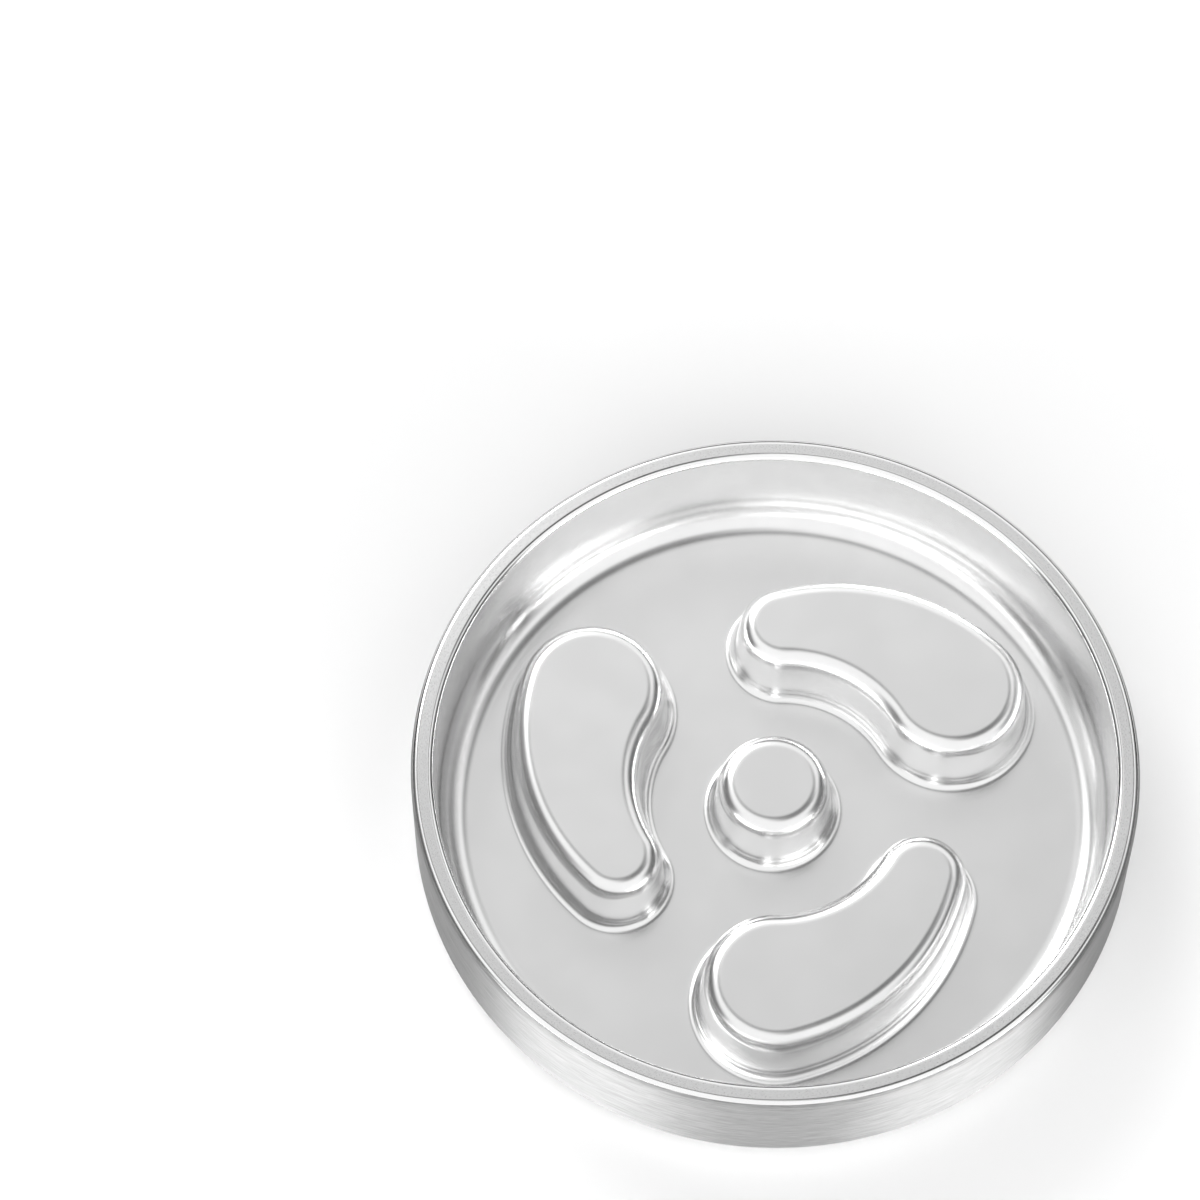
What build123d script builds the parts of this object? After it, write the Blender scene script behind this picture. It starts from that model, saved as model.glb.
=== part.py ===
from build123d import *
import os
from math import cos, hypot, radians, sin, tan

os.makedirs("parts", exist_ok=True)

# Slow feeder dog bowl: a double-walled round bowl pressed from sheet steel, with four islands in
# its pan and a stepped rubber ring under it. Millimetres and degrees throughout.
# The origin is the point on the floor under the bowl's centre, +Z is up and -Y is the bowl's front.

# Driving dimensions of the whole bowl
BOWL_RADIUS = 115.0
STEEL_HEIGHT = 42.0
SHEET = 0.8

# Rubber ring under the base
RING_PROUD_HIGH = 4.3
RING_PROUD_LOW = 1.8
RING_STEPS = 9
RING_STEP_RUN = 2.5
RING_EDGE_ROUND = 0.5
RING_INNER_DRAFT = 12.0
RING_OUTER_DRAFT = 3.0
RING_SIDE_GAP = 0.4
FILM_THICKNESS = 0.2
FILM_INSET = 0.8

# Base of the outer shell
BASE_CORNER = 4.5
GROOVE_INNER_RADIUS = 82.6
GROOVE_OUTER_RADIUS = 101.5
GROOVE_DEPTH = 1.5
GROOVE_LIP_ROUND = 0.7

# Rim, where the pan turns out over the shell
RIM_WIDTH = 7.3
RIM_OUTER_ROUND = 2.3
RIM_INNER_ROUND = 2.1
LIP_DROP = 2.9
WELD_HEIGHT = 1.0
WELD_ROOT = 0.3

# Inside of the pan
PAN_DEPTH = 37.3
PAN_WALL_DRAFT = 2.0
PAN_CORNER = 9.0

# Islands. An outline is where an island's side and top would meet if the edge weren't rounded.
ISLAND_BELOW_RIM = 15.0
ISLAND_DRAFT = 5.0
ISLAND_EDGE_ROUND = 5.8
ISLAND_FOOT_ROUND = 3.5
CENTRE_RADIUS = 17.35
KIDNEYS = 3
BIG_END_RADIUS = 22.8
BIG_END_DISTANCE = 66.8
BIG_END_ANGLE = 270.0
SMALL_END_RADIUS = 13.75
SMALL_END_DISTANCE = 55.8
SMALL_END_ANGLE = 326.0
OUTER_SIDE_RADIUS = 74.7
INNER_SIDE_RADIUS = 39.45

# Heights and radii that follow from them
Z_BASE = RING_PROUD_HIGH
Z_RIM = Z_BASE + STEEL_HEIGHT
Z_SEAM = Z_RIM - LIP_DROP
Z_FLOOR = Z_RIM - PAN_DEPTH
Z_ISLAND = Z_RIM - ISLAND_BELOW_RIM
Z_CEILING = Z_BASE + GROOVE_DEPTH
Z_UNDER_PAN = Z_FLOOR - 2 * SHEET
PAN_MOUTH_RADIUS = BOWL_RADIUS - RIM_WIDTH
WELD_INNER_RADIUS = BOWL_RADIUS - SHEET - WELD_ROOT
RING_INNER_RADIUS = GROOVE_INNER_RADIUS + RING_SIDE_GAP
RING_OUTER_RADIUS = GROOVE_OUTER_RADIUS - RING_SIDE_GAP


def polar(distance, angle):
    """A point in the plane from its distance and its angle in degrees."""
    return Vector(distance * cos(radians(angle)), distance * sin(radians(angle)))


def turned(corners):
    """Solid of revolution about Z from (radius, height, rounding) corners of its half section."""
    points = [(radius, 0, height) for radius, height, _ in corners]
    roundings = [rounding for _, _, rounding in corners]
    section = make_face(FilletPolyline(*points, radius=roundings, close=True))
    return revolve(section, Axis.Z)


def third_corner(a, distance_a, b, distance_b):
    """The point at the given distances from a and b, on the side of line ab that faces the origin."""
    span = b - a
    length = span.length
    along = (distance_a**2 - distance_b**2 + length**2) / (2 * length)
    across = (distance_a**2 - along**2) ** 0.5
    unit = span / length
    side = Vector(-unit.Y, unit.X)
    if side.dot(a + b) > 0:
        side = side * -1
    return a + unit * along + side * across


def kidney(offset):
    """Kidney outline grown by an offset: two round ends joined by an outer and an inner arc."""
    big, small = polar(BIG_END_DISTANCE, BIG_END_ANGLE), polar(SMALL_END_DISTANCE, SMALL_END_ANGLE)
    outer = third_corner(
        big, OUTER_SIDE_RADIUS - BIG_END_RADIUS, small, OUTER_SIDE_RADIUS - SMALL_END_RADIUS
    )
    inner = third_corner(
        big, INNER_SIDE_RADIUS + BIG_END_RADIUS, small, INNER_SIDE_RADIUS + SMALL_END_RADIUS
    )
    outer_reach, inner_reach = OUTER_SIDE_RADIUS + offset, INNER_SIDE_RADIUS - offset
    big_reach, small_reach = BIG_END_RADIUS + offset, SMALL_END_RADIUS + offset

    def on_circle(centre, reach, towards):
        return centre + (towards - centre).normalized() * reach

    outer_start, outer_end = (on_circle(outer, outer_reach, end) for end in (big, small))
    inner_start, inner_end = (on_circle(inner, inner_reach, end) for end in (big, small))
    middle = (big + small) * 0.5
    edges = [
        ThreePointArc(outer_start, on_circle(outer, outer_reach, middle), outer_end),
        ThreePointArc(outer_end, on_circle(small, small_reach, small * 2 - big), inner_end),
        ThreePointArc(inner_end, on_circle(inner, inner_reach, middle), inner_start),
        ThreePointArc(inner_start, on_circle(big, big_reach, big * 2 - small), outer_start),
    ]
    return make_face(edges)


def disc(offset):
    """Round outline of the centre island, grown by an offset."""
    return make_face(CenterArc((0, 0), CENTRE_RADIUS + offset, 0, 360))


def island(outline, under, z_foot):
    """Tapered block of one island. under is 0 for its outside or the sheet for the space inside."""
    z_top = Z_ISLAND - under
    slope = tan(radians(ISLAND_DRAFT))
    inward = under / cos(radians(ISLAND_DRAFT))
    lower = Pos(0, 0, z_foot) * outline((Z_ISLAND - z_foot) * slope - inward)
    return extrude(lower, amount=z_top - z_foot, dir=(0, 0, 1), taper=ISLAND_DRAFT)


def all_islands(under, z_foot):
    """Blocks of the centre island and the three kidneys."""
    blocks = [island(disc, under, z_foot)]
    for k in range(KIDNEYS):
        blocks.append(Rot(0, 0, 360 * k / KIDNEYS) * island(kidney, under, z_foot))
    return blocks


def pan_wall_radius(height):
    """Inside radius of the pan's wall at a height, before its corners are rounded."""
    return PAN_MOUTH_RADIUS - (Z_RIM - height) * tan(radians(PAN_WALL_DRAFT))


def pan_block(under):
    """Solid under the pan's sheet: under is 0 for its upper face or the sheet for its lower one."""
    outward = under / cos(radians(PAN_WALL_DRAFT))
    z_rim, z_floor = Z_RIM - under, Z_FLOOR - under
    block = turned(
        [
            (0, Z_UNDER_PAN, 0),
            (BOWL_RADIUS - under, Z_UNDER_PAN, 0),
            (BOWL_RADIUS - under, z_rim, RIM_OUTER_ROUND - under),
            (pan_wall_radius(z_rim) + outward, z_rim, RIM_INNER_ROUND - under),
            (pan_wall_radius(z_floor) + outward, z_floor, PAN_CORNER + under),
            (0, z_floor, 0),
        ]
    )
    for island_block in all_islands(under, Z_UNDER_PAN):
        block += island_block
    foot_limit = pan_wall_radius(z_floor) - PAN_CORNER - SHEET
    feet = [
        edge
        for edge in block.edges().filter_by_position(Axis.Z, z_floor - 0.01, z_floor + 0.01)
        if hypot(edge.position_at(0).X, edge.position_at(0).Y) < foot_limit
    ]
    block = fillet(feet, ISLAND_FOOT_ROUND + under)
    z_top = Z_ISLAND - under
    tops = block.edges().filter_by_position(Axis.Z, z_top - 0.01, z_top + 0.01)
    return fillet(tops, ISLAND_EDGE_ROUND - under)


def feeder_pan():
    """Inner pan with its islands, its flat rim and the lip that turns down over the shell."""
    pan = pan_block(0) - pan_block(SHEET)
    z_lip = Z_SEAM + WELD_HEIGHT / 2
    beside = turned(
        [
            (PAN_MOUTH_RADIUS + 2 * SHEET, Z_UNDER_PAN - 1, 0),
            (BOWL_RADIUS + 1, Z_UNDER_PAN - 1, 0),
            (BOWL_RADIUS + 1, z_lip, 0),
            (PAN_MOUTH_RADIUS + 2 * SHEET, z_lip, 0),
        ]
    )
    return pan - beside


def outer_shell():
    """Straight side wall and base, with a pressed groove in the base for the rubber ring."""
    z_top = Z_SEAM - WELD_HEIGHT / 2
    return turned(
        [
            (0, Z_BASE, 0),
            (GROOVE_INNER_RADIUS, Z_BASE, GROOVE_LIP_ROUND),
            (GROOVE_INNER_RADIUS, Z_CEILING, 0),
            (GROOVE_OUTER_RADIUS, Z_CEILING, 0),
            (GROOVE_OUTER_RADIUS, Z_BASE, GROOVE_LIP_ROUND),
            (BOWL_RADIUS, Z_BASE, BASE_CORNER),
            (BOWL_RADIUS, z_top, 0),
            (BOWL_RADIUS - SHEET, z_top, 0),
            (BOWL_RADIUS - SHEET, Z_BASE + SHEET, BASE_CORNER - SHEET),
            (GROOVE_OUTER_RADIUS + SHEET, Z_BASE + SHEET, 0),
            (GROOVE_OUTER_RADIUS + SHEET, Z_CEILING + SHEET, GROOVE_LIP_ROUND),
            (GROOVE_INNER_RADIUS - SHEET, Z_CEILING + SHEET, GROOVE_LIP_ROUND),
            (GROOVE_INNER_RADIUS - SHEET, Z_BASE + SHEET, 0),
            (0, Z_BASE + SHEET, 0),
        ]
    )


def rim_weld():
    """Weld between the pan's lip and the shell's edge, ground flush with the wall outside."""
    z_low, z_high = Z_SEAM - WELD_HEIGHT / 2, Z_SEAM + WELD_HEIGHT / 2
    return turned(
        [
            (WELD_INNER_RADIUS, z_low, 0),
            (BOWL_RADIUS, z_low, 0),
            (BOWL_RADIUS, z_high, 0),
            (WELD_INNER_RADIUS, z_high, 0),
        ]
    )


def low_pad_section(radius):
    """Section of the cutter of one low pad, in the plane square to the radius at that distance."""
    mid_radius = (RING_INNER_RADIUS + RING_OUTER_RADIUS) / 2
    half_pad = radius * tan(radians(360 / RING_STEPS / 4))
    half_run = RING_STEP_RUN / 2 * radius / mid_radius
    z_low = RING_PROUD_HIGH - RING_PROUD_LOW
    flare = half_run * 2 / z_low
    plane = Plane(origin=(radius, 0, 0), x_dir=(0, 1, 0), z_dir=(1, 0, 0))
    corners = [
        (-half_pad - half_run - flare, -1),
        (half_pad + half_run + flare, -1),
        (half_pad - half_run, z_low),
        (-half_pad + half_run, z_low),
    ]
    return plane * make_face(Polyline(*corners, close=True))


def nonslip_ring():
    """Rubber ring whose underside steps between nine high pads and nine low ones."""
    z_top = Z_CEILING - FILM_THICKNESS
    inner_lean = z_top * tan(radians(RING_INNER_DRAFT))
    outer_lean = z_top * tan(radians(RING_OUTER_DRAFT))
    ring = turned(
        [
            (RING_INNER_RADIUS, z_top, 0),
            (RING_OUTER_RADIUS, z_top, 0),
            (RING_OUTER_RADIUS - outer_lean, 0, RING_EDGE_ROUND),
            (RING_INNER_RADIUS + inner_lean, 0, RING_EDGE_ROUND),
        ]
    )
    near = RING_INNER_RADIUS * cos(radians(360 / RING_STEPS / 3))
    far = RING_OUTER_RADIUS + 2
    cutter = loft([low_pad_section(near), low_pad_section(far)], ruled=True)
    pitch = 360 / RING_STEPS
    for k in range(RING_STEPS):
        ring -= Rot(0, 0, BIG_END_ANGLE + pitch * (k + 0.75)) * cutter
    return ring


def ring_film():
    """Bonding film between the rubber ring and the groove's ceiling."""
    z_low = Z_CEILING - FILM_THICKNESS
    inner, outer = RING_INNER_RADIUS + FILM_INSET, RING_OUTER_RADIUS - FILM_INSET
    return turned([(inner, z_low, 0), (outer, z_low, 0), (outer, Z_CEILING, 0), (inner, Z_CEILING, 0)])


for make_piece in (feeder_pan, outer_shell, rim_weld, nonslip_ring, ring_film):
    export_step(make_piece(), f"parts/{make_piece.__name__}.step")
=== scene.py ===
# %% [markdown]
# # Slow feeder dog bowl
# The bowl is pressed from two sheets of stainless steel. The inner sheet is the pan, with a round
# island in its middle and three kidney-shaped islands round it, which make a dog eat slowly. The
# outer sheet is the straight side wall and the base. They are welded together under the rim, and
# a stepped rubber ring in a groove of the base keeps the bowl from sliding.
#
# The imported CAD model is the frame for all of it: it says where each piece is and how large.
# Every piece below is made again with smooth, fine surfaces, in the place of its CAD node.

# %% Load the frame
from math import cos, degrees, pi, radians, sin, sqrt, tan

import bmesh
import bpy
import numpy as np
from mathutils import Matrix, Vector
from mathutils.geometry import delaunay_2d_cdt


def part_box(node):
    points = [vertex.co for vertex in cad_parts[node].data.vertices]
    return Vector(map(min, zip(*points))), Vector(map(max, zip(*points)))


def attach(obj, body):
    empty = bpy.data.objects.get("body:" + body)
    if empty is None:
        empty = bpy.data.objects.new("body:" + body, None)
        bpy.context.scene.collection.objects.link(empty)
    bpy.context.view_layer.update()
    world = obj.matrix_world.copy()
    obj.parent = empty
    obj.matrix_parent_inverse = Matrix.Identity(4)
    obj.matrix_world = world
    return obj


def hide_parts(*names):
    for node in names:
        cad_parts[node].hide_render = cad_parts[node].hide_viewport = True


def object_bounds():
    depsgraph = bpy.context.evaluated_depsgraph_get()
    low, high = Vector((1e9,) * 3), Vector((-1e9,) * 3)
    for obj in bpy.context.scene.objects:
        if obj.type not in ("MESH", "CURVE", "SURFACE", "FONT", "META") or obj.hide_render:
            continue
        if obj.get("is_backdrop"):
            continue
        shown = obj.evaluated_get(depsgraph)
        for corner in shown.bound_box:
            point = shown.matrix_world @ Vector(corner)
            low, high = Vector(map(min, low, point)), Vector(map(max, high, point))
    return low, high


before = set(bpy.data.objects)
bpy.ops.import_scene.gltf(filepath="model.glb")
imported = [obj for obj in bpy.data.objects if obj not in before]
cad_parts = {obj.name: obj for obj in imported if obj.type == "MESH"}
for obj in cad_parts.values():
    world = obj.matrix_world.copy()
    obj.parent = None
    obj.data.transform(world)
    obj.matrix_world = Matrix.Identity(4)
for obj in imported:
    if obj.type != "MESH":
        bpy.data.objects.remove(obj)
cad_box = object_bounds()
print("nodes of the frame:", sorted(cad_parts))
print("lowest and highest corner:", [[round(value, 4) for value in corner] for corner in cad_box])

# %% [markdown]
# ## Sizes
# A pressed bowl is easiest to describe in millimetres, as its drawing would be. The numbers are
# the CAD model's own, so that each surface lies where its solid does. Blender works in metres,
# and the one place that turns millimetres into metres is the function that makes a mesh.

# %% Sizes of the bowl, in millimetres
BOWL_RADIUS = 115.0
SHEET = 0.8
Z_BASE = 4.3
Z_RIM = 46.3
Z_WELD_TOP = 43.9
Z_WELD_FOOT = 42.9
Z_FLOOR = 9.0
Z_ISLAND = 31.3
Z_GROOVE = 5.8

RIM_WIDTH = 7.3
RIM_OUTER_ROUND = 2.3
RIM_INNER_ROUND = 2.1
PAN_WALL_DRAFT = radians(2)
PAN_CORNER = 9.0
PAN_MOUTH_RADIUS = BOWL_RADIUS - RIM_WIDTH

pan_low, pan_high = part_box("feeder_pan")
print("CAD pan is", round((pan_high[0] - pan_low[0]) * 1000, 2), "mm across")
print("and its rim is", round(pan_high[2] * 1000, 2), "mm above the floor")

# %% [markdown]
# ## Rounded sections
# Nearly every piece here starts as a section: a few straight runs with rounded corners, as on a
# drawing. A Bevel modifier could round a mesh afterwards, but steel shows each rounding as a thin
# bright line, so its radius has to be exact. This function works the arcs out instead. It also
# puts a point close to each end of a straight run. Those points keep smooth shading from bending
# the flats beside the arcs, which would spoil their reflections.

# %% Rounded section
ARC_STEP = radians(9)
GUARD = 0.3


def rounded(corners, closed):
    """Points along straight runs joined by arcs, from (x, y, radius) corners.

    An arc of radius r in a corner of angle a starts r / tan(a / 2) from the corner, and its
    centre lies r / sin(a / 2) from the corner, on the line that halves the angle.
    """
    spots = np.array([corner[:2] for corner in corners], float)
    pieces = []
    last = len(corners) - 1
    for index, corner in enumerate(corners):
        spot, radius = spots[index], corner[2]
        if radius == 0 or (not closed and index in (0, last)):
            pieces.append(spot[None])
            continue
        before = spots[index - 1] - spot
        after = spots[(index + 1) % len(corners)] - spot
        before, after = before / np.linalg.norm(before), after / np.linalg.norm(after)
        half = np.arccos(np.clip(before @ after, -1, 1)) / 2
        middle = (before + after) / np.linalg.norm(before + after)
        centre = spot + middle * radius / sin(half)
        start = spot + before * radius / tan(half) - centre
        end = spot + after * radius / tan(half) - centre
        turn = pi - 2 * half
        sense = np.sign(start[0] * end[1] - start[1] * end[0])
        angles = sense * np.linspace(0, turn, max(3, int(np.ceil(turn / ARC_STEP)) + 1))
        across = np.array([-start[1], start[0]])
        pieces.append(centre + np.cos(angles)[:, None] * start + np.sin(angles)[:, None] * across)
    return guarded(pieces, closed)


def guarded(pieces, closed):
    """Joins the arcs, with two more points on each straight run that is long enough for them."""
    points = []
    for index, piece in enumerate(pieces):
        points.append(piece)
        if index == len(pieces) - 1 and not closed:
            break
        start, end = piece[-1], pieces[(index + 1) % len(pieces)][0]
        length = np.linalg.norm(end - start)
        if length > 4 * GUARD:
            along = (end - start) / length * GUARD
            points.append(np.array([start + along, end - along]))
    return np.concatenate(points)


sample = rounded([(0, 0, 0), (10, 0, 2), (10, 10, 0)], closed=False)
print("a corner of radius 2 becomes", len(sample), "points")

# %% [markdown]
# ## From a grid to a mesh
# Each surface is a grid of points, worked out all at once with numpy. A grid knows its faces from
# its own rows and columns: the face at a row and a column joins that point to the next in both
# directions. Either direction may close on itself, as round a bowl.
#
# Where grids meet, their points are in the same place, and merging them closes the skin. Then
# Blender turns all faces outwards. The function prints how many edges are open, which should be 0.

# %% Grids and meshes
MM = 0.001
MERGE_DISTANCE = 1e-6


def grid_faces(rows, columns, rows_close, columns_close):
    """Corners of each face of a grid whose points are numbered row by row."""
    row = np.arange(rows if rows_close else rows - 1)[:, None]
    column = np.arange(columns if columns_close else columns - 1)[None]
    next_row, next_column = (row + 1) % rows, (column + 1) % columns
    corners = [
        row * columns + column,
        next_row * columns + column,
        next_row * columns + next_column,
        row * columns + next_column,
    ]
    return np.stack(corners, axis=-1).reshape(-1, 4)


def make_piece(name, surfaces, finishes, node, finish_of=None):
    """One mesh from (points, faces) surfaces in millimetres, standing for a CAD node.

    finish_of gets the middle of each face, in millimetres, and gives the number of its finish.
    """
    points, faces, used = [], [], 0
    for surface_points, surface_faces in surfaces:
        points.append(surface_points)
        faces.extend((surface_faces + used).tolist())
        used += len(surface_points)
    points = np.concatenate(points) * MM
    mesh = bpy.data.meshes.new(name)
    mesh.from_pydata(points.tolist(), [], faces)
    shell = bmesh.new()
    shell.from_mesh(mesh)
    bmesh.ops.remove_doubles(shell, verts=shell.verts, dist=MERGE_DISTANCE)
    bmesh.ops.recalc_face_normals(shell, faces=shell.faces)
    open_edges = sum(not edge.is_manifold for edge in shell.edges)
    volume = shell.calc_volume() / MM**3
    shell.to_mesh(mesh)
    shell.free()
    mesh.polygons.foreach_set("use_smooth", np.ones(len(mesh.polygons), bool))
    for finish in finishes:
        mesh.materials.append(finish)
    if finish_of is not None:
        middles = np.empty(3 * len(mesh.polygons))
        mesh.polygons.foreach_get("center", middles)
        numbers = finish_of(middles.reshape(-1, 3) / MM).astype(np.int32)
        mesh.polygons.foreach_set("material_index", numbers)
    mesh.update()
    piece = bpy.data.objects.new(name, mesh)
    bpy.context.scene.collection.objects.link(piece)
    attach(piece, "root")
    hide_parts(node)
    print(f"{name}: {len(mesh.polygons)} faces, {open_edges} open edges, {volume:.0f} mm3")


# %% [markdown]
# ## Turned surfaces
# The shell, the weld, the bond and the pan's rim are round about the bowl's axis. A Screw modifier
# turns a section too, but the formula is one line: the section's radius goes round the axis and
# its height stays. 256 sides leave under a hundredth of a millimetre between the flat faces and a
# true circle, so that even polished steel shows no corners.

# %% Turned surface
SIDES = 256


def turned(section, closed):
    """Surface of revolution: x = r cos a, y = r sin a, z = h for each (r, h) of the section."""
    angle = np.linspace(0, 2 * pi, SIDES, endpoint=False)[:, None]
    radius, height = section[None, :, 0], section[None, :, 1]
    x, y = radius * np.cos(angle), radius * np.sin(angle)
    points = np.stack([x, y, np.broadcast_to(height, x.shape)], axis=-1)
    return points.reshape(-1, 3), grid_faces(SIDES, section.shape[0], True, closed)


# %% [markdown]
# ## Shader maths in plain Python
# A finish is a recipe of nodes. Wiring them by name is hard to read, so one small class wraps an
# output socket and lets Python's own signs stand for Math nodes: grain * 0.1 + 0.3 adds a
# Multiply node and an Add node. Anything else goes through one method that names the node's type.

# %% Recipes and values
class Value:
    """A socket of a recipe. Arithmetic on it adds Math nodes."""

    def __init__(self, recipe, socket):
        self.recipe = recipe
        self.socket = socket

    def _math(self, operation, *operands):
        return self.recipe.node("Math", dict(enumerate(operands)), operation=operation)

    def __add__(self, other):
        return self._math("ADD", self, other)

    def __radd__(self, other):
        return self._math("ADD", other, self)

    def __sub__(self, other):
        return self._math("SUBTRACT", self, other)

    def __rsub__(self, other):
        return self._math("SUBTRACT", other, self)

    def __mul__(self, other):
        return self._math("MULTIPLY", self, other)

    def __truediv__(self, other):
        return self._math("DIVIDE", self, other)

    def __pow__(self, other):
        return self._math("POWER", self, other)

    def eased(self, low, high, start=0.0, end=1.0):
        """Goes smoothly from start to end while this value goes from low to high."""
        inputs = {0: self, 1: low, 2: high, 3: start, 4: end}
        return self.recipe.node("MapRange", inputs, interpolation_type="SMOOTHSTEP")

    def output(self, name):
        """Another output of the same node."""
        return Value(self.recipe, self.socket.node.outputs[name])


class Recipe:
    """The node tree of a finish or of the studio, emptied and then written anew."""

    def __init__(self, owner):
        owner.use_nodes = True
        self.owner = owner
        self.tree = owner.node_tree
        self.tree.nodes.clear()

    def node(self, kind, inputs=None, output=0, **settings):
        """Adds a node: first its settings, then the values or links of its sockets."""
        made = self.tree.nodes.new("ShaderNode" + kind)
        for name, value in settings.items():
            setattr(made, name, value)
        for name, value in (inputs or {}).items():
            if isinstance(value, Value):
                self.tree.links.new(value.socket, made.inputs[name])
            else:
                made.inputs[name].default_value = value
        return Value(self, made.outputs[output]) if len(made.outputs) else None

    def place(self):
        """x, y and z of a point in the piece's own coordinates, in metres."""
        x = self.node("SeparateXYZ", {0: self.node("TexCoord", output="Object")})
        return x, x.output("Y"), x.output("Z")

    def noise(self, vector, scale, detail=2.0):
        """Cloudy noise from 0 to 1, in steps of about one over the scale."""
        return self.node("TexNoise", {"Vector": vector, "Scale": scale, "Detail": detail})

    def mix(self, mask, low, high):
        """The colour low where the mask is 0 and high where it is 1."""
        return self.node("Mix", {0: mask, 6: low, 7: high}, output=2, data_type="RGBA")


def grey(level):
    """A neutral colour of one linear level."""
    return (level, level, level, 1.0)


print("the recipe class wraps any socket, so that shader maths reads as arithmetic")

# %% [markdown]
# ## Grain of brushed steel
# The side wall, the rim and the base are brushed while the bowl turns, so every scratch runs
# round the axis. Stretched noise gives that: a point is looked up by its direction from the axis,
# which changes slowly, and by its distance along the section, which changes fast. Each scratch is
# then centimetres long and a fraction of a millimetre wide, with no seam anywhere.
#
# The brushed surface also scatters light across the scratches and hardly along them. That is what
# the Anisotropic socket is for. Turned by a quarter, it spreads the light up and down the wall and
# outwards on the base, where it makes the bright fans of spun steel.

# %% Brushed steel
def round_grain(recipe, slow, fast):
    """Noise at (x / r * slow, y / r * slow, (r + z) * fast): long round the axis, fine across."""
    x, y, z = recipe.place()
    radius = (x * x + y * y) ** 0.5
    inputs = {0: x / radius * slow, 1: y / radius * slow, 2: (radius + z) * fast}
    return recipe.noise(recipe.node("CombineXYZ", inputs), 1.0, detail=3.0)


def brushed_steel(name, breaks, level, roughness, anisotropy, contrast, depth):
    """Steel with scratches round the axis, which vary its colour, gloss and surface.

    breaks says how often a scratch ends on its way round: the more, the shorter the scratches.
    """
    recipe = Recipe(bpy.data.materials.new(name))
    fine = round_grain(recipe, slow=breaks, fast=3600.0)
    broad = round_grain(recipe, slow=1.6, fast=420.0)
    grain = fine * 0.80 + broad * 0.20
    dark, light = grey(level - contrast), grey(level + contrast)
    sockets = {
        "Base Color": recipe.mix(grain.eased(0.35, 0.65), dark, light),
        "Metallic": 1.0,
        "Roughness": roughness + (grain - 0.5) * 0.25,
        "Anisotropic": anisotropy,
        "Anisotropic Rotation": 0.25,
        "Normal": recipe.node("Bump", {"Strength": 0.5, "Distance": depth, "Height": fine}),
    }
    recipe.node("OutputMaterial", {"Surface": recipe.node("BsdfPrincipled", sockets)})
    return recipe.owner


wall_steel = brushed_steel(
    "wall_brushed_steel",
    breaks=16.0,
    level=0.43,
    roughness=0.64,
    anisotropy=1.0,
    contrast=0.07,
    depth=1.2e-5,
)
rim_steel = brushed_steel(
    "rim_brushed_steel",
    breaks=160.0,
    level=0.76,
    roughness=0.30,
    anisotropy=0.60,
    contrast=0.03,
    depth=3e-6,
)
base_steel = brushed_steel(
    "base_spun_steel",
    breaks=5.0,
    level=0.80,
    roughness=0.28,
    anisotropy=0.85,
    contrast=0.04,
    depth=3e-6,
)
print("brushed finishes:", wall_steel.name, rim_steel.name, base_steel.name)

# %% [markdown]
# ## Polished steel
# The pan keeps the soft shine of its sheet, and the roundings of rim and base are buffed a little
# brighter. Two things keep such surfaces from looking like a computer's idea of chrome. Drawn sheet
# is never quite flat, so a very shallow, wide bump bends its reflections. And buffing leaves a
# faint haze that comes and goes, so the roughness drifts a little.

# %% Polished steel
def polished_steel(name, level, roughness, haze, wave):
    """Soft mirror with drifting haze and a wide, shallow wave."""
    recipe = Recipe(bpy.data.materials.new(name))
    place = recipe.node("TexCoord", output="Object")
    drift = recipe.noise(place, 45.0)
    swirl = recipe.noise(place, 900.0, detail=4.0)
    swell = recipe.noise(place, 22.0, detail=1.0)
    sockets = {
        "Base Color": recipe.mix(drift.eased(0.3, 0.7), grey(level - 0.02), grey(level + 0.02)),
        "Metallic": 1.0,
        "Roughness": roughness + (drift - 0.5) * haze + (swirl - 0.5) * haze * 0.5,
        "Normal": recipe.node("Bump", {"Strength": 1.0, "Distance": wave, "Height": swell}),
    }
    recipe.node("OutputMaterial", {"Surface": recipe.node("BsdfPrincipled", sockets)})
    return recipe.owner


pan_steel = polished_steel(
    "pan_polished_steel", level=0.84, roughness=0.25, haze=0.04, wave=2e-5
)
edge_steel = polished_steel(
    "edge_polished_steel", level=0.86, roughness=0.15, haze=0.04, wave=1e-5
)
print("polished finishes:", pan_steel.name, edge_steel.name)

# %% [markdown]
# ## Rubber and bond
# The ring is moulded rubber. Its treads, the faces that touch the floor, carry a fine grain that
# scatters light and looks dark grey. The mould was smooth at the sides and steps, so they catch a
# soft gleam. Their colour is also set near-black, a painted shade for the dark gap along the ring.
# The slope of the surface tells the two apart. The bond behind the ring is a thin layer of cured
# adhesive, pale and a little cloudy.

# %% Rubber and bond
def moulded_rubber(name):
    """Grained where the surface lies flat, smoother where it is steep, and near-black there as
    painted shade.
    """
    recipe = Recipe(bpy.data.materials.new(name))
    place = recipe.node("TexCoord", output="Object")
    slope = recipe.node("SeparateXYZ", {0: recipe.node("NewGeometry", output="Normal")}).output("Z")
    tread = (slope * slope).eased(0.75, 0.95)
    grain = recipe.noise(place, 3200.0, detail=3.0)
    specks = recipe.noise(place, 1500.0, detail=1.0).eased(0.45, 0.75)
    speckled_grey = recipe.mix(specks, grey(0.082), grey(0.115))
    bump = {"Strength": tread * 0.9, "Distance": 6e-5, "Height": grain}
    sockets = {
        # painted shade: the steep sides and steps take a near-black grey in place of the tread's
        # speckled grey
        "Base Color": recipe.mix(tread, grey(0.018), speckled_grey),
        "Roughness": 0.42 + tread * 0.22 + (grain - 0.5) * 0.1,
        "Specular IOR Level": 0.45,
        "Normal": recipe.node("Bump", bump),
    }
    recipe.node("OutputMaterial", {"Surface": recipe.node("BsdfPrincipled", sockets)})
    return recipe.owner


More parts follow.
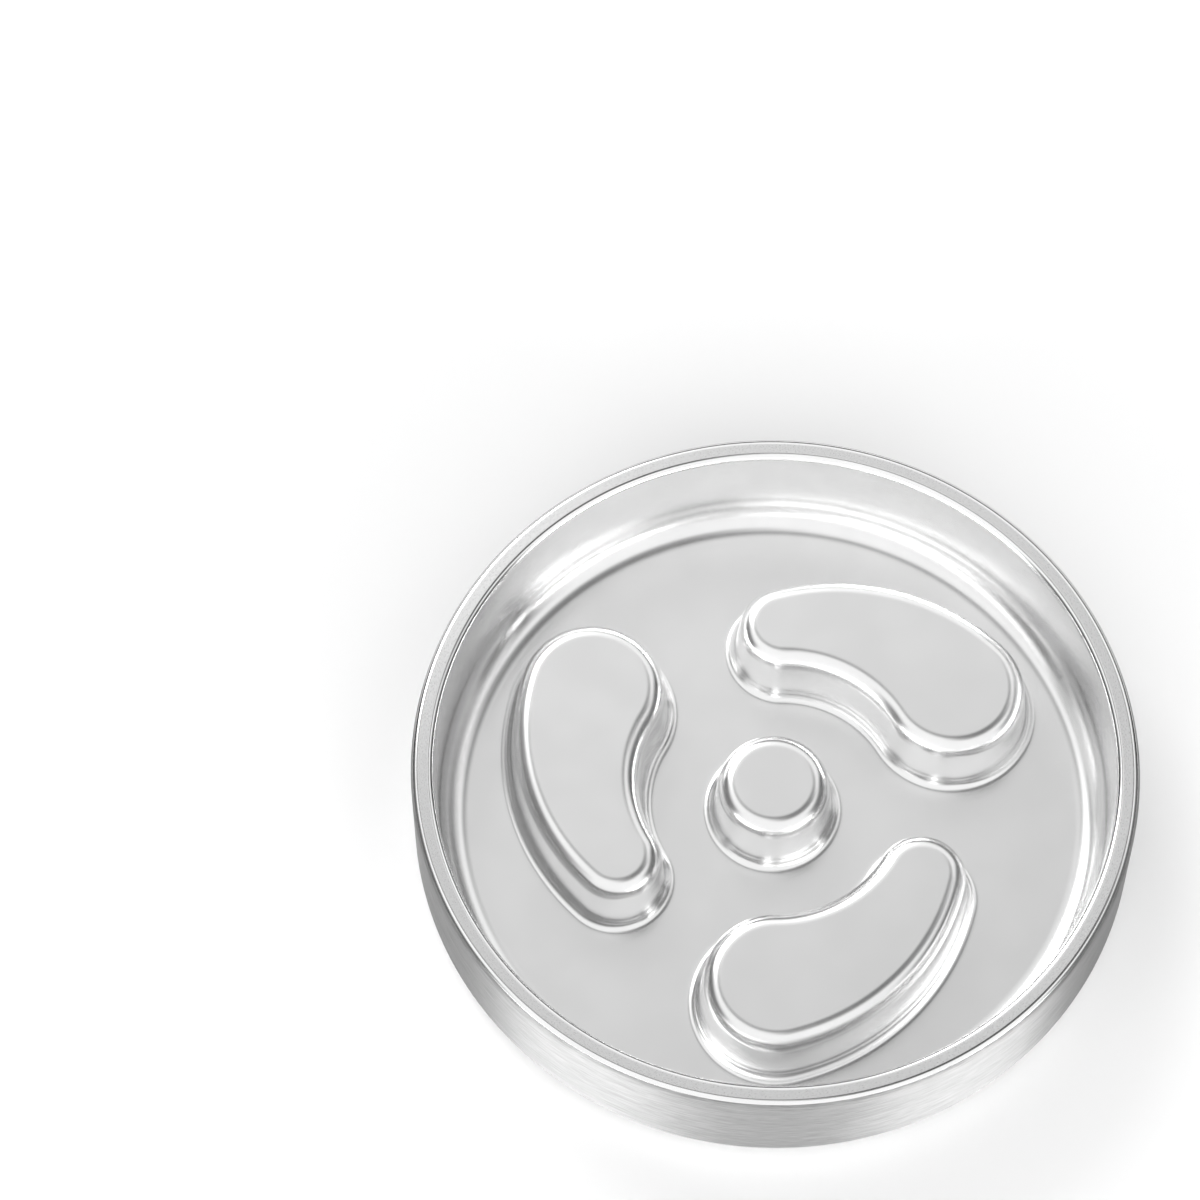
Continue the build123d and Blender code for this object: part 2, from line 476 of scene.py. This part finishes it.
def cured_bond(name):
    """Pale adhesive with faint clouds."""
    recipe = Recipe(bpy.data.materials.new(name))
    clouds = recipe.noise(recipe.node("TexCoord", output="Object"), 160.0)
    sockets = {
        "Base Color": recipe.mix(clouds, (0.70, 0.68, 0.61, 1.0), (0.82, 0.80, 0.74, 1.0)),
        "Roughness": 0.5 + (clouds - 0.5) * 0.2,
    }
    recipe.node("OutputMaterial", {"Surface": recipe.node("BsdfPrincipled", sockets)})
    return recipe.owner


ring_rubber = moulded_rubber("ring_moulded_rubber")
bond_adhesive = cured_bond("ring_cured_bond")
print("ring finishes:", ring_rubber.name, bond_adhesive.name)

# %% [markdown]
# ## Outer shell
# The side wall stands straight and turns under in one rounding into the flat base. A groove is
# pressed into the base for the rubber ring, and its two lips are rounded and left bright. The
# section below goes once round the sheet: along its outside from the middle of the base to the
# top of the wall, and back along its inside.

# %% Outer shell
GROOVE_INNER_RADIUS = 82.6
GROOVE_OUTER_RADIUS = 101.5
GROOVE_LIP_ROUND = 0.7
BASE_CORNER = 4.5
SEAM_ROUND = 0.3

shell_section = rounded(
    [
        (0, Z_BASE, 0),
        (GROOVE_INNER_RADIUS, Z_BASE, GROOVE_LIP_ROUND),
        (GROOVE_INNER_RADIUS, Z_GROOVE, 0.2),
        (GROOVE_OUTER_RADIUS, Z_GROOVE, 0.2),
        (GROOVE_OUTER_RADIUS, Z_BASE, GROOVE_LIP_ROUND),
        (BOWL_RADIUS, Z_BASE, BASE_CORNER),
        (BOWL_RADIUS, Z_WELD_FOOT, SEAM_ROUND),
        (BOWL_RADIUS - SHEET, Z_WELD_FOOT, 0.1),
        (BOWL_RADIUS - SHEET, Z_BASE + SHEET, BASE_CORNER - SHEET),
        (GROOVE_OUTER_RADIUS + SHEET, Z_BASE + SHEET, 0.1),
        (GROOVE_OUTER_RADIUS + SHEET, Z_GROOVE + SHEET, GROOVE_LIP_ROUND),
        (GROOVE_INNER_RADIUS - SHEET, Z_GROOVE + SHEET, GROOVE_LIP_ROUND),
        (GROOVE_INNER_RADIUS - SHEET, Z_BASE + SHEET, 0.1),
        (0, Z_BASE + SHEET, 0),
    ],
    closed=False,
)


def shell_finish(middles):
    """0 on the wall and inside, 1 on the flat of the base, 2 on its roundings and in the groove."""
    radius = np.hypot(middles[:, 0], middles[:, 1])
    height = middles[:, 2]
    flat = height < Z_BASE + 0.01
    wall = (radius > BOWL_RADIUS - 0.02) & (height > Z_BASE + BASE_CORNER - 0.1)
    low = height < Z_BASE + BASE_CORNER
    return np.select([flat, low & ~wall], [1, 2], 0)


make_piece(
    "shell_sheet",
    [turned(shell_section, closed=False)],
    [wall_steel, base_steel, edge_steel],
    "outer_shell",
    shell_finish,
)

# %% [markdown]
# ## Rim weld
# The pan's lip and the shell's upper edge meet in a weld that is ground flush and brushed with the
# wall. What shows of it is one hairline round the bowl, just under the rim. A rounding on the
# edges of weld and wall leaves that fine groove, which no texture could shade so well.

# %% Rim weld
WELD_INNER_RADIUS = 113.9

weld_section = rounded(
    [
        (WELD_INNER_RADIUS, Z_WELD_FOOT, 0.05),
        (BOWL_RADIUS, Z_WELD_FOOT, 0.15),
        (BOWL_RADIUS, Z_WELD_TOP, 0.03),
        (WELD_INNER_RADIUS, Z_WELD_TOP, 0.05),
    ],
    closed=True,
)
make_piece(
    "weld_bead", [turned(weld_section, closed=True)], [wall_steel], "rim_weld"
)

# %% [markdown]
# ## Outlines of the islands
# A kidney is drawn with four arcs that run smoothly into each other: a big round end, a small
# round end, a long outer side, and an inner side that bends the other way. Each arc is part of a
# circle, so the outline can grow or shrink by any offset without losing its shape: only the
# circles' radii change. The function gives points of the outline and the outward direction at
# each, and a point at offset d is the point plus d times that direction.

# %% Outlines of the islands
CENTRE_RADIUS = 17.35
CENTRE_SIDES = 96
BIG_END_RADIUS = 22.8
BIG_END_DISTANCE = 66.8
BIG_END_ANGLE = radians(270)
SMALL_END_RADIUS = 13.75
SMALL_END_DISTANCE = 55.8
SMALL_END_ANGLE = radians(326)
OUTER_SIDE_RADIUS = 74.7
INNER_SIDE_RADIUS = 39.45
KIDNEY_TURNS = (0.0, radians(120), radians(240))


def direction(angle):
    """Unit vectors at the given angles."""
    return np.stack([np.cos(angle), np.sin(angle)], axis=-1)


def side_centre(big, small, from_big, from_small):
    """Centre of a side's circle: at given distances from both ends, nearer to the bowl's axis."""
    span = small - big
    length = np.linalg.norm(span)
    along = (from_big**2 - from_small**2 + length**2) / (2 * length)
    across = sqrt(from_big**2 - along**2)
    unit = span / length
    side = np.array([-unit[1], unit[0]])
    side = side * -np.sign(side @ (big + small))
    return big + unit * along + side * across


def arc(centre, radius, start, end, bend, count):
    """An arc's points and outward directions, from the direction of one point to another's.

    bend is 1 where the outline bulges and -1 where it is hollow. count is how many points the
    arc gets, and its end is left to the next arc.
    """
    first, last = (np.arctan2(*(point - centre)[::-1]) for point in (start, end))
    sweep = (last - first) % (2 * pi)
    sweep = sweep if bend > 0 else sweep - 2 * pi
    rays = direction(first + sweep * np.arange(count) / count)
    return centre + radius * rays, bend * rays


def kidney_outline():
    """Points and outward directions round a kidney, which start and end at its big end."""
    big = BIG_END_DISTANCE * direction(BIG_END_ANGLE)
    small = SMALL_END_DISTANCE * direction(SMALL_END_ANGLE)
    outer = side_centre(
        big, small, OUTER_SIDE_RADIUS - BIG_END_RADIUS, OUTER_SIDE_RADIUS - SMALL_END_RADIUS
    )
    inner = side_centre(
        big, small, INNER_SIDE_RADIUS + BIG_END_RADIUS, INNER_SIDE_RADIUS + SMALL_END_RADIUS
    )
    arcs = [
        arc(outer, OUTER_SIDE_RADIUS, big, small, bend=1, count=44),
        arc(small, SMALL_END_RADIUS, 2 * small - outer, inner, bend=1, count=40),
        arc(inner, INNER_SIDE_RADIUS, small, big, bend=-1, count=28),
        arc(big, BIG_END_RADIUS, inner, 2 * big - outer, bend=1, count=48),
    ]
    points, outward = zip(*arcs)
    return np.concatenate(points), np.concatenate(outward)


def centre_outline():
    """Points and outward directions round the centre island."""
    rays = direction(np.linspace(0, 2 * pi, CENTRE_SIDES, endpoint=False))
    return CENTRE_RADIUS * rays, rays


kidney_points, kidney_outward = kidney_outline()
steps = np.linalg.norm(np.roll(kidney_points, -1, axis=0) - kidney_points, axis=1)
print(f"kidney outline: {steps.sum():.0f} mm round")
print(f"in steps of {steps.min():.1f} to {steps.max():.1f} mm")

# %% [markdown]
# ## A profile carried along an outline
# An island's side has the same section all the way round: up from the floor through a hollow
# rounding, up the slope and over the rounded edge to the flat top. So the surface is that section
# carried along the outline. Its first number says how far outwards from the outline a point lies
# and its second how high.

# %% Island sections and their surfaces
ISLAND_DRAFT = radians(5)
ISLAND_EDGE_ROUND = 5.8
ISLAND_FOOT_ROUND = 3.5
FLOOR_OFFSET = 5.9
TOP_OFFSET = -7.0


def island_section(under):
    """Section of an island's side. under is 0 for its upper face or the sheet for its lower."""
    lean = tan(ISLAND_DRAFT)
    inward = under / cos(ISLAND_DRAFT)
    floor, top = Z_FLOOR - under, Z_ISLAND - under
    return rounded(
        [
            (FLOOR_OFFSET, floor, 0),
            ((Z_ISLAND - floor) * lean - inward, floor, ISLAND_FOOT_ROUND + under),
            (under * lean - inward, top, ISLAND_EDGE_ROUND - under),
            (TOP_OFFSET, top, 0),
        ],
        closed=False,
    )


def turned_about_axis(plan, angle):
    """Plan points turned about the bowl's axis."""
    return plan @ np.array([[cos(angle), sin(angle)], [-sin(angle), cos(angle)]])


def carried(outline, outward, section):
    """A section carried round an outline: outline + offset * outward, at the section's height."""
    plan = outline[:, None] + outward[:, None] * section[None, :, :1]
    height = np.broadcast_to(section[None, :, 1:], plan.shape[:2] + (1,))
    points = np.concatenate([plan, height], axis=-1)
    return points.reshape(-1, 3), grid_faces(*plan.shape[:2], True, False)


upper_island, lower_island = island_section(0.0), island_section(SHEET)
print("points in an island's section:", len(upper_island), "above,", len(lower_island), "below")

# %% [markdown]
# ## Flat areas with holes
# The pan's floor is a flat disc with four holes, one for each island, and each island's top is
# flat too. Such areas have no natural grid. A Delaunay triangulation fills them from their edges
# alone, and the triangles that fall inside a hole are dropped. Each triangle's middle is tested
# with the even-odd rule: a ray from it crosses a loop an odd number of times if it is inside.

# %% Flat areas
def inside(points, loop):
    """Even-odd rule for whole arrays of points against one closed loop."""
    start, end = loop[None], np.roll(loop, -1, axis=0)[None]
    x, y = points[:, :1], points[:, 1:]
    spans = (start[..., 1] > y) != (end[..., 1] > y)
    rise = np.where(spans, end[..., 1] - start[..., 1], 1.0)
    crossing = start[..., 0] + (y - start[..., 1]) / rise * (end[..., 0] - start[..., 0])
    return (spans & (x < crossing)).sum(axis=1) % 2 == 1


def flat_area(loops, height):
    """Triangles between the first loop and the others, which are holes, at one height."""
    plan = np.concatenate(loops)
    edges, used = [], 0
    for loop in loops:
        index = np.arange(len(loop))
        edges.append(np.stack([index, np.roll(index, -1)], axis=1) + used)
        used += len(loop)
    made = delaunay_2d_cdt(plan.tolist(), np.concatenate(edges).tolist(), [], 0, 1e-6)
    corners, triangles = np.array(made[0]), np.array(made[2])
    middles = corners[triangles].mean(axis=1)
    keep = inside(middles, loops[0])
    for hole in loops[1:]:
        keep &= ~inside(middles, hole)
    points = np.column_stack([corners, np.full(len(corners), height)])
    return points, triangles[keep]


square = np.array([[0.0, 0.0], [4.0, 0.0], [4.0, 4.0], [0.0, 4.0]])
ring_test = flat_area([square, square / 2 + 1], 0.0)
print("a square with a square hole fills with", len(ring_test[1]), "triangles")

# %% [markdown]
# ## Pan
# The pan is one sheet, so it is one closed skin: an upper face, a lower face 0.8 mm under it, and
# the cut edge of the lip between them. The rim's section runs from the floor up the wall, over the
# rim and down the lip, then back on the inside. The islands and the two floors join on to it.

# %% Pan
FLOOR_MARGIN = 0.6
BRIGHT_BAND = radians(45)


def wall_radius(height):
    """Inside radius of the pan's wall at a height, before its corners are rounded."""
    return PAN_MOUTH_RADIUS - (Z_RIM - height) * tan(PAN_WALL_DRAFT)


floor_radius = wall_radius(Z_FLOOR) - PAN_CORNER / tan(pi / 4 + PAN_WALL_DRAFT / 2) - FLOOR_MARGIN


def rim_corners(under):
    """Corners of the pan's wall and rim, from the floor outwards to the lip."""
    outward = under / cos(PAN_WALL_DRAFT)
    floor, rim = Z_FLOOR - under, Z_RIM - under
    return [
        (floor_radius, floor, 0),
        (wall_radius(floor) + outward, floor, PAN_CORNER + under),
        (wall_radius(rim) + outward, rim, RIM_INNER_ROUND - under),
        (BOWL_RADIUS - under, rim, RIM_OUTER_ROUND - under),
        (BOWL_RADIUS - under, Z_WELD_TOP, 0.03),
    ]


rim_section = rounded(rim_corners(0.0) + rim_corners(SHEET)[::-1], closed=False)
pan_surfaces = [turned(rim_section, closed=False)]
floor_loops = [floor_radius * direction(np.linspace(0, 2 * pi, SIDES, endpoint=False))]
islands = [centre_outline()]
for turn in KIDNEY_TURNS:
    islands.append(tuple(turned_about_axis(plan, turn) for plan in (kidney_points, kidney_outward)))
for outline, outward in islands:
    floor_loops.append(outline + FLOOR_OFFSET * outward)
    top_loop = outline + TOP_OFFSET * outward
    for section in (upper_island, lower_island):
        pan_surfaces.append(carried(outline, outward, section))
        pan_surfaces.append(flat_area([top_loop], section[-1, 1]))
for height in (Z_FLOOR, Z_FLOOR - SHEET):
    pan_surfaces.append(flat_area(floor_loops, height))


def pan_finish(middles):
    """0 in the pan, 1 on the rim's flat, 2 below the bright band outside it, 3 on its roundings."""
    radius, height = np.hypot(middles[:, 0], middles[:, 1]), middles[:, 2]
    band_foot = Z_RIM - RIM_OUTER_ROUND * (1 - cos(BRIGHT_BAND))
    outside = (radius > BOWL_RADIUS - RIM_OUTER_ROUND) & (height < band_foot)
    rounding = height > Z_RIM - RIM_INNER_ROUND
    return np.select([height > Z_RIM - 0.005, outside, rounding], [1, 2, 3], 0)


make_piece(
    "pan_sheet",
    pan_surfaces,
    [pan_steel, rim_steel, wall_steel, edge_steel],
    "feeder_pan",
    pan_finish,
)

# %% [markdown]
# ## Rubber ring
# Nine raised pads stand on the floor, and nine low ones hang a few millimetres above it, so that
# the step faces grip. The ring's cross-section is the same everywhere except for how far down it
# reaches. So two sections are drawn, one for a raised pad and one for a low one, and at each angle
# the ring takes a blend of the two. The blend follows a line round the ring with its own rounded
# corners, which gives each step its slope and its soft edges.

# %% Rubber ring
GROOVE_GAP = 0.4
BOND_THICKNESS = 0.2
RING_INNER_RADIUS = GROOVE_INNER_RADIUS + GROOVE_GAP
RING_OUTER_RADIUS = GROOVE_OUTER_RADIUS - GROOVE_GAP
RING_MIDDLE = (RING_INNER_RADIUS + RING_OUTER_RADIUS) / 2
RING_TOP = Z_GROOVE - BOND_THICKNESS
RING_LOW_PAD = 2.5
RING_STEPS = 9
RING_STEP_RUN = 2.5
RING_STEP_ROUND = 0.7
RING_EDGE_ROUND = 0.5
RING_INNER_DRAFT = radians(12)
RING_OUTER_DRAFT = radians(3)
FIRST_RAISED_PAD = radians(280)
SPREAD_POINTS = 41
LEAST_APART = 0.02


def ring_section(bottom):
    """Closed section of the ring that reaches down to a given height."""
    inner = RING_INNER_RADIUS + (RING_TOP - bottom) * tan(RING_INNER_DRAFT)
    outer = RING_OUTER_RADIUS - (RING_TOP - bottom) * tan(RING_OUTER_DRAFT)
    return rounded(
        [
            (RING_INNER_RADIUS, RING_TOP, 0.1),
            (inner, bottom, RING_EDGE_ROUND),
            (outer, bottom, RING_EDGE_ROUND),
            (RING_OUTER_RADIUS, RING_TOP, 0.1),
        ],
        closed=True,
    )


def step_line():
    """Lengths round the ring and heights of its underside, over one raised and one low pad.

    The line's straight runs have to follow the ring round, so evenly spread points join its own.
    Where two lie nearly in one place, the second is dropped.
    """
    pitch = 2 * pi * RING_MIDDLE / RING_STEPS
    half = RING_STEP_RUN / 2
    up, down = pitch / 4, pitch * 3 / 4
    corners = [
        (0, 0, 0),
        (up - half, 0, RING_STEP_ROUND),
        (up + half, RING_LOW_PAD, RING_STEP_ROUND),
        (pitch / 2, RING_LOW_PAD, 0),
        (down - half, RING_LOW_PAD, RING_STEP_ROUND),
        (down + half, 0, RING_STEP_ROUND),
        (pitch, 0, 0),
    ]
    line = rounded(corners, closed=False)
    spread = np.linspace(0, pitch, SPREAD_POINTS)
    heights = np.interp(spread, line[:, 0], line[:, 1])
    line = np.concatenate([line, np.column_stack([spread, heights])])
    line = line[np.argsort(line[:, 0])]
    apart = np.diff(line[:, 0], prepend=-1.0) > LEAST_APART
    return line[apart][:-1], pitch


def stepped_ring():
    """Section(angle) = raised + (low - raised) * height / low height, turned round the axis."""
    line, pitch = step_line()
    lengths = (line[None, :, 0] + pitch * np.arange(RING_STEPS)[:, None]).ravel()
    blend = np.tile(line[:, 1], RING_STEPS)[:, None, None] / RING_LOW_PAD
    raised, low = ring_section(0.0), ring_section(RING_LOW_PAD)
    section = raised + (low - raised) * blend
    angle = FIRST_RAISED_PAD + lengths[:, None] / RING_MIDDLE
    radius, height = section[..., 0], section[..., 1]
    points = np.stack([radius * np.cos(angle), radius * np.sin(angle), height], axis=-1)
    return points.reshape(-1, 3), grid_faces(*radius.shape, True, True)


make_piece("stepped_ring", [stepped_ring()], [ring_rubber], "nonslip_ring")

# %% [markdown]
# ## Bond
# The layer that holds the ring in its groove hardly shows, but an exploded view would show it, so
# it is there: a thin flat band between the rubber and the steel.

# %% Bond
BOND_MARGIN = 0.8
BOND_ROUND = 0.05

bond_section = rounded(
    [
        (RING_INNER_RADIUS + BOND_MARGIN, RING_TOP, BOND_ROUND),
        (RING_OUTER_RADIUS - BOND_MARGIN, RING_TOP, BOND_ROUND),
        (RING_OUTER_RADIUS - BOND_MARGIN, Z_GROOVE, BOND_ROUND),
        (RING_INNER_RADIUS + BOND_MARGIN, Z_GROOVE, BOND_ROUND),
    ],
    closed=True,
)
make_piece(
    "bond_layer", [turned(bond_section, closed=True)], [bond_adhesive], "ring_film"
)

# %% [markdown]
# ## Camera
# The picture was taken from well above and far away with a long lens, which keeps the round bowl
# nearly free of perspective. The bowl stands low and to the right in the frame. A shifted lens
# could put it there, but a real camera that simply looks past it sees its side walls at the right
# slant, so the camera is placed and turned instead: first tilted up from straight down, then
# turned a hair to the left, and last rolled a hair.

# %% Camera
CAMERA_PLACE = (-0.0491, -0.6776, 1.5860)
CAMERA_TILT = radians(25.5)
CAMERA_TURN = radians(0.48)
CAMERA_ROLL = radians(-0.53)
SENSOR_WIDTH_MM = 36.0
FOCAL_LENGTH_MM = 160.03

lens = bpy.data.cameras.new("camera")
lens.sensor_width = SENSOR_WIDTH_MM
lens.lens = FOCAL_LENGTH_MM
camera = bpy.data.objects.new("camera", lens)
bpy.context.scene.collection.objects.link(camera)
camera.matrix_world = (
    Matrix.Translation(CAMERA_PLACE)
    @ Matrix.Rotation(CAMERA_TURN, 4, "Z")
    @ Matrix.Rotation(CAMERA_TILT, 4, "X")
    @ Matrix.Rotation(CAMERA_ROLL, 4, "Z")
)
bpy.context.scene.camera = camera
print("field of view:", round(degrees(lens.angle), 2), "degrees")

# %% [markdown]
# ## Studio
# Steel has hardly any colour of its own: it shows what stands round it. A studio for it is mostly
# bright, with a few soft dark flags, because only the change from bright to dark tells the eye
# that a surface is curved. The world is that studio. It is a formula that gives a brightness for
# each direction: how far a direction turns towards the front says what it meets, and its height
# says where that ends. Two low strip lights stand on both sides of the camera, for the brushed
# wall. Tall dark flags stand at the left and right, and a lower dark strip at the back. A pale card
# hangs opposite the camera, where flat steel mirrors it, and a darker gap over the card draws a
# line where a flat begins to bend. A dark wedge beside the gap, on the right, does the same for
# the roundings that turn that way. Below the horizon all is plain and bright, which only shows
# when the floor is taken away to look at the underside.
#
# The floor is a large plain sheet, so white that the background needs no trick, and the bowl
# stands on its own soft shadow.

# %% Studio
CARD_BACK, CARD_UP = 0.43, 0.9028
PLAIN_LEVEL = 1.10
STRIP_LEVEL = 14.0
CARD_LEVEL = 0.86
FLOOR_LEVEL = 0.96
FLOOR_REACH = 30.0


def studio_world():
    """Brightness by direction: strips and flags round the horizon, a card, and the card's gap."""
    recipe = Recipe(bpy.data.worlds.new("studio"))
    x = recipe.node("SeparateXYZ", {0: recipe.node("TexCoord", output="Generated")})
    y, z = x.output("Y"), x.output("Z")
    towards_front = 0.0 - y / (x * x + y * y) ** 0.5
    strips = towards_front.eased(0.40, 0.52) * z.eased(0.30, 0.16) * STRIP_LEVEL
    middle = towards_front.eased(0.88, 0.97)
    flags = towards_front.eased(0.42, 0.30) * towards_front.eased(-0.66, -0.50) * z.eased(0.78, 0.54)
    back_strip = towards_front.eased(-0.34, -0.50) * z.eased(0.50, 0.36)
    level = PLAIN_LEVEL + strips * (1.0 - middle * 0.91)
    level = level * (1.0 - flags * 0.86) * (1.0 - back_strip * 0.92)
    to_card = y * CARD_BACK + z * CARD_UP
    above_card = z * CARD_BACK - y * CARD_UP
    gap = to_card.eased(0.91, 0.94) * above_card.eased(-0.22, -0.02)
    wedge = to_card.eased(0.76, 0.84) * above_card.eased(0.05, 0.20) * x.eased(0.0, 0.12)
    level = level * (1.0 - gap * 0.75) * (1.0 - wedge * 0.85)
    level = level + (CARD_LEVEL - level) * to_card.eased(0.974, 0.989)
    level = PLAIN_LEVEL + (level - PLAIN_LEVEL) * z.eased(-0.06, -0.01)
    glow = recipe.node("Background", {"Color": grey(1.0), "Strength": level})
    recipe.node("OutputWorld", {"Surface": glow})
    return recipe.owner


def studio_floor(reach):
    """A plain white floor that goes this far from the bowl each way, in metres."""
    mesh = bpy.data.meshes.new("floor")
    corners = [(-reach, -reach, 0), (reach, -reach, 0), (reach, reach, 0), (-reach, reach, 0)]
    mesh.from_pydata(corners, [], [(0, 1, 2, 3)])
    recipe = Recipe(bpy.data.materials.new("floor_white"))
    white = recipe.node("BsdfDiffuse", {"Color": grey(FLOOR_LEVEL)})
    recipe.node("OutputMaterial", {"Surface": white})
    mesh.materials.append(recipe.owner)
    floor = bpy.data.objects.new("floor", mesh)
    bpy.context.scene.collection.objects.link(floor)
    floor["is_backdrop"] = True
    return floor


def soft_sun(name, strength, spread, tilt, turn):
    """A far lamp with a wide disc, so that its shadows are soft."""
    lamp = bpy.data.lights.new(name, "SUN")
    lamp.energy = strength
    lamp.angle = spread
    sun = bpy.data.objects.new(name, lamp)
    sun.matrix_world = Matrix.Rotation(turn, 4, "Z") @ Matrix.Rotation(tilt, 4, "X")
    bpy.context.scene.collection.objects.link(sun)
    return sun


bpy.context.scene.world = studio_world()
floor = studio_floor(FLOOR_REACH)
key = soft_sun(
    "key_light", strength=1.0, spread=radians(35), tilt=radians(55), turn=radians(-150)
)
bpy.context.scene.view_settings.view_transform = "Standard"
print("the studio has a world,", floor.name, "and", key.name)

# %% [markdown]
# ## Sizes at the end
# The dressed bowl's box is set beside the CAD model's box, and the largest difference between
# their corners is printed.

# %% Compare the boxes and finish
dressed_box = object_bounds()
boxes = {
    "cad": [[float(value) for value in corner] for corner in cad_box],
    "visual": [[float(value) for value in corner] for corner in dressed_box],
}
difference = np.abs(np.array(boxes["cad"]) - np.array(boxes["visual"])).max()
print(f"the two boxes differ by at most {difference * 1000:.3f} mm")
